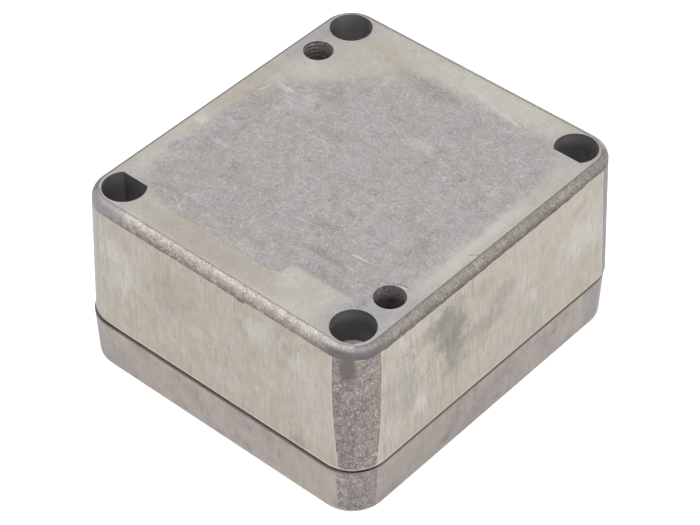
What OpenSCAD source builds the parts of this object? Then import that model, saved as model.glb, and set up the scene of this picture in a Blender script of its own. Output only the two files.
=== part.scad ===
// Sealed die cast box: a base casting and a lid casting, drawn together by four screws.
// It stands upside down on its lid. +Z runs from the lid's outer face to the underside of the
// base, and the origin is under the middle of the box, on the plane that it stands on.
// Corners go by turn: front is +X -Y, right is +X +Y, back is -X +Y and left is -X -Y.

/* [Overall size] */
// Width of both castings along X, at the joint line
box_x = 58; // [54:1:90]
// Length of both castings along Y, at the joint line
box_y = 64; // [60:1:120]
// Height of the base casting
base_h = 24.1; // [22:0.1:60]
// Height of the lid casting
lid_h = 9.2; // [8.8:0.1:16]

/* [Outer form] */
// Radius of the upright corners at the joint line
corner_r = 6.2; // [5.2:0.1:8]
// Draft of the outer walls, in degrees
outer_draft = 2.2; // [0.5:0.1:2.8]
// Radius around the underside of the base
base_edge_r = 1.6; // [0.5:0.1:2]
// Radius around the outer face of the lid
lid_edge_r = 1; // [0.4:0.1:2]
// Bevel of both castings at the joint line
rim_bevel = 0.15; // [0.05:0.05:0.3]
// Gap that the gasket leaves between the castings
joint_gap = 0.2; // [0.05:0.05:0.4]
// How far the lid sits out of line with the base along Y
lid_slip = 0.3; // [0:0.05:0.35]

/* [Hollows] */
// Wall thickness of the base at the joint line
wall = 2.8; // [2.2:0.1:3.2]
// Thickness of the base's underside
base_floor = 3; // [2.5:0.1:4]
// Thickness of the lid's outer face
lid_floor = 3; // [2.5:0.1:4]
// Draft of the cored hollows, in degrees
core_draft = 1.2; // [0.5:0.1:2]
// Radius between the floor and the walls of a hollow
floor_r = 1.5; // [0.8:0.1:2]
// Radius in the upright corners of the hollows
hollow_r = 3; // [2.2:0.1:4]
// Radius on the free corner of each corner post
post_r = 3; // [2.2:0.1:4]
// Metal left around the holes in a corner post
post_wall = 2.4; // [2.3:0.1:3]

/* [Lid screws] */
// Distance from each screw's axis to the two nearest sides
screw_inset = 6; // [5.6:0.1:7]
// Thread diameter of the lid screws
screw_d = 4; // [3.9:0.1:4.2]
// Length of thread held in the base
screw_grip = 9; // [6:0.5:10]
// Diameter of a screw's head
head_d = 7; // [6.4:0.1:7.4]
// Height of a screw's head
head_h = 2.6; // [2:0.1:2.8]
// Width of the slot in a screw's head
slot_w = 1.2; // [0.8:0.1:1.4]
// Depth of the slot in a screw's head
slot_deep = 1.3; // [0.8:0.1:1.6]
// Bevel around a screw's head and at the screw's tip
screw_bevel = 0.4; // [0.2:0.1:0.6]
// Depth of the recess that takes a screw's head
head_recess = 3.6; // [3:0.1:4]
// Gap all round a screw's head in its recess
head_gap = 0.5; // [0.3:0.1:0.6]
// Gap all round a screw's shank in the lid
shank_gap = 0.35; // [0.35:0.05:0.4]
// Gap all round a screw's thread in the base
thread_gap = 0.05; // [0.02:0.01:0.08]
// Drilled depth left past the tip of a screw
drill_past = 1.5; // [1:0.5:3]

/* [Corner pockets] */
// Diameter of the pocket cored behind each screw
pocket_d = 7; // [6:0.1:7.4]
// Depth of a pocket from the base's underside
pocket_deep = 6.2; // [4:0.1:8]
// Draft of a pocket, in degrees
pocket_draft = 1; // [0.5:0.1:1.5]
// Radius around a pocket's floor
pocket_floor_r = 0.6; // [0.3:0.1:1]
// Distance from a pocket's axis to its flat, where it has one
pocket_flat = 2.4; // [2.2:0.1:3]

/* [Wall mounting] */
// Distance from a mounting hole to the screw beside it
mount_step = 8; // [7.8:0.1:9]
// Diameter of a mounting hole
mount_d = 5; // [4:0.1:5.4]
// Length of a mounting hole, up to the seat of the screw's head
mount_seat = 6; // [4:0.1:7]
// Diameter of the channel that takes a mounting screw's head
channel_d = 7.4; // [7:0.1:7.8]

/* [Seal] */
// Distance from the mouth of the hollow to the middle of the seal
seal_out = 0.5; // [0.45:0.05:0.6]
// Width of the groove in the lid
groove_w = 2; // [1.6:0.1:2]
// Depth of the groove in the lid
groove_deep = 2; // [1.6:0.1:2.4]
// Width of the ridge under the base's rim
ridge_w = 0.8; // [0.6:0.1:1]
// Height of the ridge under the base's rim
ridge_h = 0.8; // [0.5:0.1:1]
// Gap at each side of the gasket in its groove
gasket_gap = 0.05; // [0.02:0.01:0.1]
// Width of the lid's rib inside the groove
rib_w = 1.2; // [1:0.1:1.6]

/* [Circuit board bosses] */
// Distance between the bosses along X
board_x = 24; // [16:1:26]
// Distance between the bosses along Y
board_y = 46; // [30:1:48]
// Diameter of a boss at its top
boss_d = 5.6; // [5:0.1:7]
// Height of a boss above the floor
boss_h = 4; // [3:0.5:8]
// Diameter of the blind hole in a boss
boss_hole_d = 2.5; // [2:0.1:3]
// Depth of the blind hole in a boss
boss_hole_deep = 4.5; // [3:0.5:5]

/* [Hidden] */
$fn = 64;
arc_steps = 8;
// Overlap that lets a cut run past a face
cut = 0.5;
// Least upright radius that a rounded floor leaves at its own corner
arc_spare = 0.3;

front = [1, -1];
right = [1, 1];
back = [-1, 1];
left = [-1, -1];
corners = [front, right, back, left];
half_box = [box_x, box_y] / 2;
mouth = [box_x - 2 * wall, box_y - 2 * wall];

joint_z = lid_h + joint_gap;
base_shift = [0, lid_slip / 2, 0];
lid_shift = [0, -lid_slip / 2, 0];
base_deep = base_h - base_floor;
gasket_h = groove_deep + joint_gap - ridge_h;
shank_len = lid_h - head_recess + joint_gap + screw_grip;

// How far the corner posts reach in from the sides of the box
reach_x = screw_inset + pocket_d / 2 + post_wall;
flat_reach = screw_inset + pocket_flat + post_wall;
mount_reach = screw_inset + mount_step + channel_d / 2 + post_wall;

// The front and back posts also hold a mounting hole; the other two have a pocket with a flat
function has_mount(corner) = corner.x * corner.y < 0;
function screw_at(corner) = [for (i = [0, 1]) corner[i] * (half_box[i] - screw_inset)];
function mount_at(corner) = screw_at(corner) - [0, corner.y * mount_step];

// Quarter arc as [inset, height] points, from an upright wall to a level face
function edge_arc(inset, height, radius) = [for (i = [0:arc_steps]) let (a = 90 * i / arc_steps)
    [inset + radius * (1 - cos(a)), height - radius * (1 - sin(a))]];

// Side lines of moulded shapes as [inset, height] points, from the open end up
function casting_line(height, edge_r) = concat([[rim_bevel, 0], [0, rim_bevel]],
    edge_arc((height - edge_r) * tan(outer_draft), height, edge_r));
function hollow_line(deep) = concat([[0, -cut], [0, 0]],
    edge_arc((deep - floor_r) * tan(core_draft), deep, floor_r));

// Two opposite upright walls of a moulded shape
module flanks(across, along, line) {
    outline = concat(
        [for (p = line) [across / 2 - p[0], p[1]]],
        [for (i = [len(line) - 1:-1:0]) [line[i][0] - across / 2, line[i][1]]]);
    rotate([90, 0, 0]) linear_extrude(along, center = true) polygon(outline);
}

// Shape with four walls that follow one side line, and upright corners of one radius
module moulded(size, upright_r, line) {
    last = line[len(line) - 1];
    turn_r = max(upright_r, last[0] + arc_spare);
    straight = [size.x - 2 * turn_r, size.y - 2 * turn_r];
    section = concat([[0, line[0][1]]], [for (p = line) [turn_r - p[0], p[1]]], [[0, last[1]]]);
    flanks(size.x, straight.y, line);
    rotate([0, 0, 90]) flanks(size.y, straight.x, line);
    for (i = [0:3])
        translate([corners[i].x * straight.x, corners[i].y * straight.y] / 2)
            rotate([0, 0, 90 * i - 90]) rotate_extrude(angle = 90) polygon(section);
}

// Space around the rounded free corner of a post, as a quarter ring about the corner's axis
module post_corner(post_r, line) {
    last = line[len(line) - 1];
    outer_r = 1.5 * (post_r + last[0]);
    section = concat([for (p = line) [post_r + p[0], p[1]]], [[outer_r, last[1]], [outer_r, line[0][1]]]);
    rotate_extrude(angle = 90) polygon(section);
}

// Bends of the mouth's outline over half a turn, moved outward by out
function half_outline(out) =
    let (side = mouth.x / 2 + out, end = mouth.y / 2 + out, bay = half_box.x - reach_x + out)
    let (past_flat = half_box.y - flat_reach + out, past_mount = half_box.y - mount_reach + out)
    [[side, -past_mount], [side, past_flat], [bay, past_flat], [bay, end], [-bay, end],
        [-bay, past_mount]];

// Cored space between the corner posts: a long middle bay and a bay at each side,
// with its mouth drawn in by inset
module hollow(deep, inset) {
    line = hollow_line(deep);
    bends = half_outline(-inset);
    low = bends[0];
    high = bends[1];
    turn_r = post_r + inset;
    moulded(2 * bends[3], hollow_r - inset, line);
    for (half = [0, 180]) rotate([0, 0, half]) {
        translate([high.x / 2, (high.y + low.y) / 2])
            moulded([high.x, high.y - low.y], hollow_r - inset, line);
        translate([bends[2].x + turn_r, high.y + turn_r]) rotate([0, 0, 180]) post_corner(turn_r, line);
        translate([bends[2].x + turn_r, low.y - turn_r]) rotate([0, 0, 90]) post_corner(turn_r, line);
    }
}

// Points around a square corner, turned with a radius
function turn(before, here, after, radius) =
    let (d1 = (here - before) / norm(here - before), d2 = (after - here) / norm(after - here))
    [for (i = [0:arc_steps]) let (a = 90 * i / arc_steps)
        here + radius * (d2 - d1 + d1 * sin(a) - d2 * cos(a))];

// Outline that runs around the mouth of the hollows at a set distance, inside the mounting holes
module seal_outline(out) {
    half = half_outline(out);
    bends = concat(half, -half);
    last = len(bends) - 1;
    hollow_turn = hollow_r + out;
    post_turn = post_r - out;
    radii = [hollow_turn, hollow_turn, post_turn, hollow_turn, hollow_turn, post_turn];
    polygon([for (i = [0:last])
        each turn(bends[i == 0 ? last : i - 1], bends[i], bends[i == last ? 0 : i + 1], radii[i % 6])]);
}

// Closed band of one width along the line of the seal
module seal_band(width, height) {
    linear_extrude(height) difference() {
        seal_outline(seal_out + width / 2);
        seal_outline(seal_out - width / 2);
    }
}

// Form of the core pin behind a screw, down from the base's underside
module pocket(corner) {
    narrow_r = pocket_d / 2 - (pocket_deep - pocket_floor_r) * tan(pocket_draft);
    floor_arc = edge_arc(-narrow_r, pocket_deep, pocket_floor_r);
    difference() {
        rotate_extrude() polygon(concat([[0, cut], [pocket_d / 2, cut], [pocket_d / 2, 0]],
            [for (p = floor_arc) [-p[0], -p[1]]], [[0, -pocket_deep]]));
        if (!has_mount(corner))
            translate([0, -corner.y * (pocket_flat + pocket_d / 2), 0])
                cube([2 * pocket_d, pocket_d, 3 * pocket_deep], center = true);
    }
}

// Tapped hole for a lid screw, up from the base's rim
module screw_hole() {
    deep = screw_grip + drill_past;
    translate([0, 0, -ridge_h]) cylinder(h = deep + ridge_h, d = screw_d);
    translate([0, 0, deep]) cylinder(h = screw_d / 4, d1 = screw_d, d2 = 0);
}

// Wall mounting hole with the wide channel that its screw is dropped into
module mounting_hole() {
    seat_z = base_h - mount_seat;
    translate([0, 0, -cut]) cylinder(h = seat_z + cut, d = channel_d);
    translate([0, 0, seat_z - cut]) cylinder(h = mount_seat + 2 * cut, d = mount_d);
}

module board_bosses() {
    for (x = [-1, 1], y = [-1, 1])
        translate([x * board_x / 2, y * board_y / 2, base_deep - boss_h])
            cylinder(h = boss_h + cut, d1 = boss_d, d2 = boss_d + 2 * (boss_h + cut) * tan(core_draft));
}

module board_holes() {
    for (x = [-1, 1], y = [-1, 1])
        translate([x * board_x / 2, y * board_y / 2, base_deep - boss_h - cut])
            cylinder(h = boss_hole_deep + cut, d = boss_hole_d);
}

module base() {
    color("silver") translate(base_shift + [0, 0, joint_z]) difference() {
        union() {
            difference() {
                moulded([box_x, box_y], corner_r, casting_line(base_h, base_edge_r));
                hollow(base_deep, 0);
            }
            board_bosses();
            translate([0, 0, -ridge_h]) seal_band(ridge_w, ridge_h + cut);
        }
        board_holes();
        for (corner = corners) translate(screw_at(corner)) {
            screw_hole();
            translate([0, 0, base_h]) pocket(corner);
        }
        for (corner = [front, back]) translate(mount_at(corner)) mounting_hole();
    }
}

module lid() {
    color("darkgray") translate(lid_shift + [0, 0, lid_h]) mirror([0, 0, 1]) difference() {
        moulded([box_x, box_y], corner_r, casting_line(lid_h, lid_edge_r));
        hollow(lid_h - lid_floor, groove_w / 2 - seal_out + rib_w);
        translate([0, 0, -cut]) seal_band(groove_w, groove_deep + cut);
        for (corner = corners) translate(screw_at(corner)) {
            translate([0, 0, -cut]) cylinder(h = lid_h + 2 * cut, r = screw_d / 2 + shank_gap);
            translate([0, 0, lid_h - head_recess])
                cylinder(h = head_recess + cut, r = head_d / 2 + head_gap);
        }
    }
}

module gasket() {
    color("dimgray") translate(lid_shift + [0, 0, lid_h - groove_deep])
        seal_band(groove_w - 2 * gasket_gap, gasket_h);
}

// Slotted screw, with its slot stopped at any angle
module lid_screw(corner, slot_angle) {
    thread_r = screw_d / 2 - thread_gap;
    spot = screw_at(corner);
    tip = head_h + shank_len;
    color("gainsboro") translate(base_shift + [spot.x, spot.y, head_recess - head_h]) difference() {
        rotate_extrude() polygon([[0, 0], [head_d / 2 - screw_bevel, 0], [head_d / 2, screw_bevel],
            [head_d / 2, head_h], [thread_r, head_h], [thread_r, tip - screw_bevel],
            [thread_r - screw_bevel, tip], [0, tip]]);
        rotate([0, 0, slot_angle]) translate([0, 0, (slot_deep - cut) / 2])
            cube([slot_w, head_d + 2 * cut, slot_deep + cut], center = true);
    }
}

base();
lid();
gasket();
lid_screw(front, 20);  // lid_screw_front
lid_screw(right, 75);  // lid_screw_right
lid_screw(back, -35);  // lid_screw_back
lid_screw(left, 120);  // lid_screw_left
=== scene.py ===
import math

import bmesh
import bpy
from mathutils import Matrix, Vector


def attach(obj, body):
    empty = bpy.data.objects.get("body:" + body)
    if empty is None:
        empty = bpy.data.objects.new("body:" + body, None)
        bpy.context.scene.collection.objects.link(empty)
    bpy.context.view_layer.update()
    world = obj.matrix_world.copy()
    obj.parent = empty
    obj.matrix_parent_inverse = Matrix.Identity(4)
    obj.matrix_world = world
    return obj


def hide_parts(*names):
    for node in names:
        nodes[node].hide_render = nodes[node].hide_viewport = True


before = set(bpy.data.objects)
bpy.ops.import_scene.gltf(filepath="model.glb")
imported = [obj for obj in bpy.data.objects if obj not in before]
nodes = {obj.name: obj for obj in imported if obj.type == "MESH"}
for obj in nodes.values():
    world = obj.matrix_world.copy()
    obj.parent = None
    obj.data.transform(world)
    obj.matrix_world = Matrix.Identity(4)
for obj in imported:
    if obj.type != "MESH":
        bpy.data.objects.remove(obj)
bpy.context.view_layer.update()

scene = bpy.context.scene

# Where the castings' parts lie, in millimetres; both castings share one outline, set apart by a small slip
plan = {
    "halfX": 29.0, "halfY": 32.0, "cornerR": 6.2,
    "slip": 0.15,  # the base sits this far towards +Y, the lid as far towards -Y
    "topZ": 33.5, "margin": 0.03,  # the margin takes in the rims of the holes
    "pocketX": 23.0, "pocketY": 26.0, "pocketR": 3.5, "pocketFlat": 23.6,
    "mountY": 18.0, "mountR": 2.5,
    "wallAt": 25.0,  # past this a place is on a side wall
}


def tone(red, green, blue):
    # a colour picked as 0-255 steps, turned into the linear values that the shaders use
    linear = []
    for value in (red, green, blue):
        part = value / 255
        linear.append(part / 12.92 if part <= 0.04045 else ((part + 0.055) / 1.055) ** 2.4)
    return (*linear, 1.0)


bench = {"tree": None}  # the node tree that the helpers below are building


def newNode(kind):
    return bench["tree"].nodes.new("ShaderNode" + kind)


def feed(socket, value):
    if value is None:
        return
    if isinstance(value, bpy.types.NodeSocket):
        bench["tree"].links.new(value, socket)
    elif socket.type == "VECTOR":
        socket.default_value = value[:3]
    else:
        socket.default_value = value


def calc(operation, first, second=None, third=None, clamp=False):
    node = newNode("Math")
    node.operation = operation
    node.use_clamp = clamp
    for socket, value in zip(node.inputs, (first, second, third)):
        feed(socket, value)
    return node.outputs[0]


def add(first, second):
    return calc("ADD", first, second)


def less(first, second):
    return calc("SUBTRACT", first, second)


def times(first, *others):
    for other in others:
        first = calc("MULTIPLY", first, other)
    return first


def timesPlus(first, second, third):
    return calc("MULTIPLY_ADD", first, second, third)


def larger(first, second):
    return calc("MAXIMUM", first, second)


def smaller(first, second):
    return calc("MINIMUM", first, second)


def above(first, second):
    # 1 where the first is above the second, else 0
    return calc("GREATER_THAN", first, second)


def below(first, second):
    return calc("LESS_THAN", first, second)


def unsigned(value):
    return calc("ABSOLUTE", value)


def vector(operation, first, second=None, scale=None):
    node = newNode("VectorMath")
    node.operation = operation
    feed(node.inputs[0], first)
    feed(node.inputs[1], second)
    if scale is not None:
        feed(node.inputs["Scale"], scale)
    return node.outputs["Value"] if operation in ("LENGTH", "DISTANCE", "DOT_PRODUCT") else node.outputs["Vector"]


def step(value, low, high, smooth=True):
    # 0 below low, 1 above high; low may lie above high, which turns the step round
    node = newNode("MapRange")
    node.interpolation_type = "SMOOTHSTEP" if smooth else "LINEAR"
    for name, number in (("Value", value), ("From Min", low), ("From Max", high)):
        feed(node.inputs[name], number)
    return node.outputs["Result"]


def mix(factor, first, second):
    node = newNode("Mix")
    node.data_type = "RGBA"
    feed(node.inputs["Factor"], factor)
    feed(node.inputs[6], first)  # the colour pair; the same names also belong to the number pair
    feed(node.inputs[7], second)
    return node.outputs[2]


def mixNumber(factor, first, second):
    node = newNode("Mix")
    feed(node.inputs["Factor"], factor)
    feed(node.inputs[2], first)
    feed(node.inputs[3], second)
    return node.outputs[0]


def shade(color, factor):
    # multiplies a colour by a grey factor around one, as a free mix with black
    node = newNode("Mix")
    node.data_type = "RGBA"
    node.clamp_factor = False
    feed(node.inputs["Factor"], less(1.0, factor))
    feed(node.inputs[6], color)
    node.inputs[7].default_value = (0, 0, 0, 1)
    return node.outputs[2]


def noise(where, scale, detail=2.0, rough=0.5):
    node = newNode("TexNoise")
    feed(node.inputs["Vector"], where)
    for name, number in (("Scale", scale), ("Detail", detail), ("Roughness", rough)):
        feed(node.inputs[name], number)
    return node.outputs["Fac"]


def sway(where, scale, detail=2.0, rough=0.5):
    # noise around zero
    return less(noise(where, scale, detail, rough), 0.5)


def split(where):
    node = newNode("SeparateXYZ")
    feed(node.inputs[0], where)
    return node.outputs


def splitColor(color):
    node = newNode("SeparateColor")
    feed(node.inputs[0], color)
    return node.outputs


def join(x=0.0, y=0.0, z=0.0):
    node = newNode("CombineXYZ")
    for socket, value in zip(node.inputs, (x, y, z)):
        feed(socket, value)
    return node.outputs[0]


def newGroup(name, takes, gives):
    # takes holds the inputs and their usual values, a place where it isn't one number; gives names the outputs
    group = bench["tree"] = bpy.data.node_groups.new(name, "ShaderNodeTree")
    for label, value in takes.items():
        kind = "NodeSocketFloat" if isinstance(value, float) else "NodeSocketVector"
        socket = group.interface.new_socket(label, in_out="INPUT", socket_type=kind)
        if value is not None:
            socket.default_value = value
    for label in gives:
        group.interface.new_socket(label, in_out="OUTPUT", socket_type="NodeSocketFloat")
    return group, group.nodes.new("NodeGroupInput").outputs, group.nodes.new("NodeGroupOutput").inputs


def place(group, **values):
    node = newNode("Group")
    node.node_tree = group
    for label, value in values.items():
        feed(node.inputs[label], value)
    return node.outputs


def makeZones():
    # tells the outside of a casting from its holes and hollows; the place is in millimetres, centred in plan
    labels = ("Inset", "Pocket", "Mount", "SideX", "AbsX", "AbsY", "X", "Y", "Z")
    group, takes, gives = newGroup("castingZones", {"Vector": None}, labels)
    x, y, z = split(takes["Vector"])
    absX, absY = unsigned(x), unsigned(y)
    outX = less(absX, plan["halfX"] - plan["cornerR"])
    outY = less(absY, plan["halfY"] - plan["cornerR"])
    pastX, pastY = larger(outX, 0.0), larger(outY, 0.0)
    past = vector("LENGTH", join(pastX, pastY))
    within = smaller(larger(outX, outY), 0.0)
    inset = less(plan["cornerR"], add(past, within))
    pocket = vector("DISTANCE", join(absX, absY), (plan["pocketX"], plan["pocketY"], 0))
    turned = times(y, calc("SIGN", x))
    mount = vector("DISTANCE", join(absX, turned), (plan["pocketX"], -plan["mountY"], 0))
    pastFlat = times(above(turned, 0.0), below(absY, plan["pocketFlat"] - 0.02))
    inRound = below(pocket, plan["pocketR"] + plan["margin"])
    inPocket = times(inRound, less(1.0, pastFlat))
    inMount = below(mount, plan["mountR"] + plan["margin"])
    sideX = above(outX, outY)
    for label, value in zip(labels, (inset, inPocket, inMount, sideX, absX, absY, x, y, z)):
        feed(gives[label], value)
    return group


def makePatch():
    # a soft-edged patch around one spot, with a ragged border
    group, takes, gives = newGroup("softPatch", {"Vector": None, "Center": None, "Reach": (1, 1, 1), "Rag": 0.0,
                                                 "Ragged": 0.4, "Soft": 0.4}, ["Mask"])
    near = vector("SUBTRACT", takes["Vector"], takes["Center"])
    far = vector("LENGTH", vector("DIVIDE", near, takes["Reach"]))
    far = timesPlus(takes["Rag"], takes["Ragged"], far)
    feed(gives["Mask"], step(far, add(1.0, takes["Soft"]), less(1.0, takes["Soft"])))
    return group


def makeGrain():
    # the sparkling skin of a rough casting: lumps in clumps, with bright flecks on them
    group, takes, gives = newGroup("castGrain", {"Vector": None, "Size": 0.4}, ["Tone", "Fleck", "Height"])
    finer = calc("DIVIDE", 1.0, takes["Size"])
    lumps = sway(takes["Vector"], finer, 3.0, 0.7)
    clumps = sway(takes["Vector"], times(finer, 0.28), 2.0, 0.5)
    crystal = newNode("TexVoronoi")
    feed(crystal.inputs["Vector"], takes["Vector"])
    feed(crystal.inputs["Scale"], times(finer, 1.6))
    luck = splitColor(crystal.outputs["Color"])[0]
    core = step(crystal.outputs["Distance"], 0.6, 0.2)
    fleck = times(step(luck, 0.74, 0.95), core)
    feed(gives["Tone"], timesPlus(clumps, 0.4, add(lumps, 0.5)))
    feed(gives["Fleck"], fleck)
    feed(gives["Height"], timesPlus(fleck, 0.35, lumps))
    return group


def makeStrokes():
    # short straight scratches in every direction: one stroke around each scattered point
    group, takes, gives = newGroup("strokeField", {"Vector": None, "Cell": 1.0, "Length": 0.4, "Width": 0.04,
                                                   "Share": 0.7}, ["Mask", "Luck"])
    bend = join(sway(takes["Vector"], 1.7), sway(takes["Vector"], 1.9))
    bent = vector("ADD", takes["Vector"], vector("SCALE", bend, scale=0.3))
    points = newNode("TexVoronoi")
    points.voronoi_dimensions = "2D"
    feed(points.inputs["Vector"], bent)
    feed(points.inputs["Scale"], calc("DIVIDE", 1.0, takes["Cell"]))
    dx, dy = split(vector("SUBTRACT", bent, points.outputs["Position"]))[:2]
    luck = splitColor(points.outputs["Color"])
    angle = times(luck[0], math.tau)
    cosine, sine = calc("COSINE", angle), calc("SINE", angle)
    along = add(times(dx, cosine), times(dy, sine))
    across = less(times(dy, cosine), times(dx, sine))
    onLine = step(unsigned(across), takes["Width"], 0.0)
    reach = times(takes["Length"], timesPlus(luck[1], 0.8, 0.4))
    onLength = step(unsigned(along), reach, times(reach, 0.6))
    drawn = below(luck[2], takes["Share"])
    feed(gives["Mask"], times(onLine, onLength, drawn))
    feed(gives["Luck"], luck[1])
    return group


def makeHairs():
    # fine curling hairlines, broken into short runs
    group, takes, gives = newGroup("hairField", {"Vector": None, "Scale": 1.0, "Width": 0.03, "Share": 0.5}, ["Mask"])
    ridge = unsigned(sway(takes["Vector"], takes["Scale"], 2.0, 0.6))
    moved = vector("ADD", takes["Vector"], (31.0, 17.0, 5.0))
    runs = noise(moved, times(takes["Scale"], 0.6), 1.0, 0.5)
    bar = less(1.0, takes["Share"])
    shown = step(runs, less(bar, 0.06), add(bar, 0.06))
    feed(gives["Mask"], times(step(ridge, takes["Width"], 0.0), shown))
    return group


def makeLineMark():
    # one straight mark on a flat face whose own axes are U and V
    labels = ("U", "V", "MiddleU", "MiddleV", "AlongU", "AlongV", "Half", "Width")
    group, takes, gives = newGroup("lineMark", {label: 0.0 for label in labels}, ["Mask"])
    u, v = less(takes["U"], takes["MiddleU"]), less(takes["V"], takes["MiddleV"])
    across = less(times(u, takes["AlongV"]), times(v, takes["AlongU"]))
    along = add(times(u, takes["AlongU"]), times(v, takes["AlongV"]))
    onLine = step(unsigned(across), takes["Width"], times(takes["Width"], 0.3))
    past = less(unsigned(along), takes["Half"])
    feed(gives["Mask"], times(onLine, step(past, takes["Width"], 0.0)))
    return group


zonesGroup = makeZones()
patchGroup = makePatch()
grainGroup = makeGrain()
strokesGroup = makeStrokes()
hairsGroup = makeHairs()
lineGroup = makeLineMark()
print("shared effects ready")


def newMaterial(name):
    material = bpy.data.materials.new(name)
    material.use_nodes = True
    tree = bench["tree"] = material.node_tree
    tree.nodes.clear()
    shader = newNode("BsdfPrincipled")
    out = newNode("OutputMaterial")
    tree.links.new(shader.outputs[0], out.inputs["Surface"])
    return material, shader


def objectMm(shiftY=0.0):
    # the piece's own coordinates, in millimetres
    coord = newNode("TexCoord")
    big = vector("SCALE", coord.outputs["Object"], scale=1000.0)
    return vector("SUBTRACT", big, (0.0, shiftY, 0.0)) if shiftY else big


def shift(color, amount, light, dark):
    # moves a colour towards light where amount is above one half and towards dark where it is below
    up = calc("MULTIPLY", less(amount, 0.5), 2.0, clamp=True)
    down = calc("MULTIPLY", less(0.5, amount), 2.0, clamp=True)
    return mix(down, mix(up, color, light), dark)


def beltMarks(where, rows):
    # upright marks of the belt, fine across and long down the wall; a row is spacing, length and share
    total = None
    for spacing, length, share in rows:
        stretched = vector("MULTIPLY", where, (1 / spacing, 1 / spacing, 1 / length))
        mark = times(sway(stretched, 1.0, 2.0, 0.6), share)
        total = mark if total is None else add(total, mark)
    return total


def hairline(where, scale, width, share):
    return place(hairsGroup, Vector=where, Scale=scale, Width=width, Share=share)["Mask"]


def makeSpot(where):
    # the place that marks are laid out by, a hair off the true one, and the raggedness of their borders;
    # marks that wait for it are worked out one by one, which keeps the shader small
    rag = sway(where, 0.55, 4.0, 0.65)
    return vector("SCALE", where, scale=timesPlus(rag, 0.002, 1.0)), rag


def patch(spot, center, reach, ragged, soft=0.5):
    where, rag = spot
    return place(patchGroup, Vector=where, Rag=rag, Center=center, Reach=reach, Ragged=ragged, Soft=soft)["Mask"]


def marked(spot, color, finish, faces, marks):
    # lays every mark of a table on its face
    for (name, face), rows in marks.items():
        axis, level, depth = faces[face]
        for across, up, reachAcross, reachUp, ragged, share in rows:
            center, reach = [across, up], [reachAcross, reachUp]
            center.insert(axis, level)
            reach.insert(axis, depth)
            color = mix(times(patch(spot, center, reach, ragged), share), color, finish[name])
    return color


def lineMark(u, v, start, end, width):
    far = math.dist(start, end)
    along = [(end[i] - start[i]) / far for i in (0, 1)]
    middle = [(end[i] + start[i]) / 2 for i in (0, 1)]
    return place(lineGroup, U=u, V=v, MiddleU=middle[0], MiddleV=middle[1], AlongU=along[0],
                 AlongV=along[1], Half=far / 2, Width=width)["Mask"]


def scratches(face, color, finish, lines):
    # a row is start, end, width and share, on the face's own two axes
    u, v, onFace = face
    for start, end, width, share in lines:
        amount = times(lineMark(u, v, start, end, width), share)
        color = mix(amount if onFace is None else times(amount, onFace), color, finish)
    return color


def grainColor(grain, middle, light, dark, flecks):
    color = shift(middle, step(grain["Tone"], 0.22, 0.78, smooth=False), light, dark)
    return mix(times(grain["Fleck"], flecks), color, light)


def bumped(shader, height, strength, distance):
    bump = newNode("Bump")
    bump.inputs["Strength"].default_value = strength
    bump.inputs["Distance"].default_value = distance
    feed(bump.inputs["Height"], height)
    feed(shader.inputs["Normal"], bump.outputs[0])


baseFinish = {
    "sandCream": tone(172, 165, 154), "sandGrey": tone(170, 163, 156), "sandLilac": tone(183, 179, 177),
    "sandGreen": tone(164, 160, 149), "smudge": tone(123, 119, 113), "pit": tone(128, 122, 113),
    "wallLight": tone(196, 190, 182), "wallPink": tone(172, 162, 156),
    "skin": tone(120, 113, 110), "skinDark": tone(84, 78, 75), "skinLight": tone(172, 166, 161),
    "skinSmooth": tone(152, 152, 146), "skinRight": tone(132, 128, 130), "drip": tone(100, 93, 90),
    "edgeLow": tone(122, 114, 109), "edgeHigh": tone(162, 155, 150), "edgeDark": tone(92, 86, 82),
    "edgeLight": tone(222, 216, 210), "edgeBlue": tone(132, 128, 132), "edgeFront": tone(94, 90, 92),
    "topCreaseShade": tone(112, 106, 103), "paintedHighlight": tone(206, 200, 192), "ledgeShadow": tone(98, 99, 101),
    "seamShadow": tone(72, 68, 65),
    "border": tone(181, 176, 166), "borderPale": tone(184, 181, 176), "borderBrown": tone(176, 167, 155),
    "borderFront": tone(168, 161, 153),
    "field": tone(168, 164, 164), "fieldDark": tone(118, 115, 113), "fieldPale": tone(206, 203, 201),
    "fieldWarm": tone(165, 161, 156), "ring": tone(158, 156, 160), "white": tone(206, 204, 199),
    "pocket": tone(146, 144, 145), "inside": tone(184, 181, 177), "mount": tone(177, 173, 171),
    "grainSize": 0.32, "flecks": 0.75, "roughness": 0.5, "skinRoughness": 0.08, "bump": 0.5, "bumpDepth": 0.00007,
    "wallShade": 0.827, "rightWallPaintedLight": 0.063, "beltMarks": [(0.2, 3.0, 0.55), (0.55, 8.0, 0.4)],
}

# where the base's surfaces meet, in millimetres; a pair is where a border starts and where it is complete
baseBorders = {
    "flatX": 23.42, "flatY": 26.3, "flatTop": 31.4,  # the sanded walls end here, beside the upright corners
    "flatLean": 0.047, "flatCurve": 0.0033,  # how their ends lean and curve on the way down
    "roundedEdge": 31.42, "edgePaintedLight": (31.9, 33.0), "wallCreaseBand": (31.95, 31.6), "edgeLeft": (-17.0, -22.5),
    "frontCorner": (28.0, -31.0, 0), "frontReach": (8.0, 4.0), "frontTurn": (33.3, 32.6),
    "faceTop": 33.1, "faceInset": 2.2,
    "holeTop": 33.25, "holeInset": 2.05,
    "rimLight": (10.0, 9.7), "rimDirt": (9.76, 9.58), "ledgeTop": 9.45, "ledgeX": -19.5,
    "fieldX": 15.4, "fieldY": 16.4, "fieldBorder": (9.8, 7.5), "fieldCut": 20.4,
    "paleLeft": (7.2, 7.9), "paleRight": (19.6, 18.6), "paleFront": (-21.4, -22.2),
}

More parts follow.
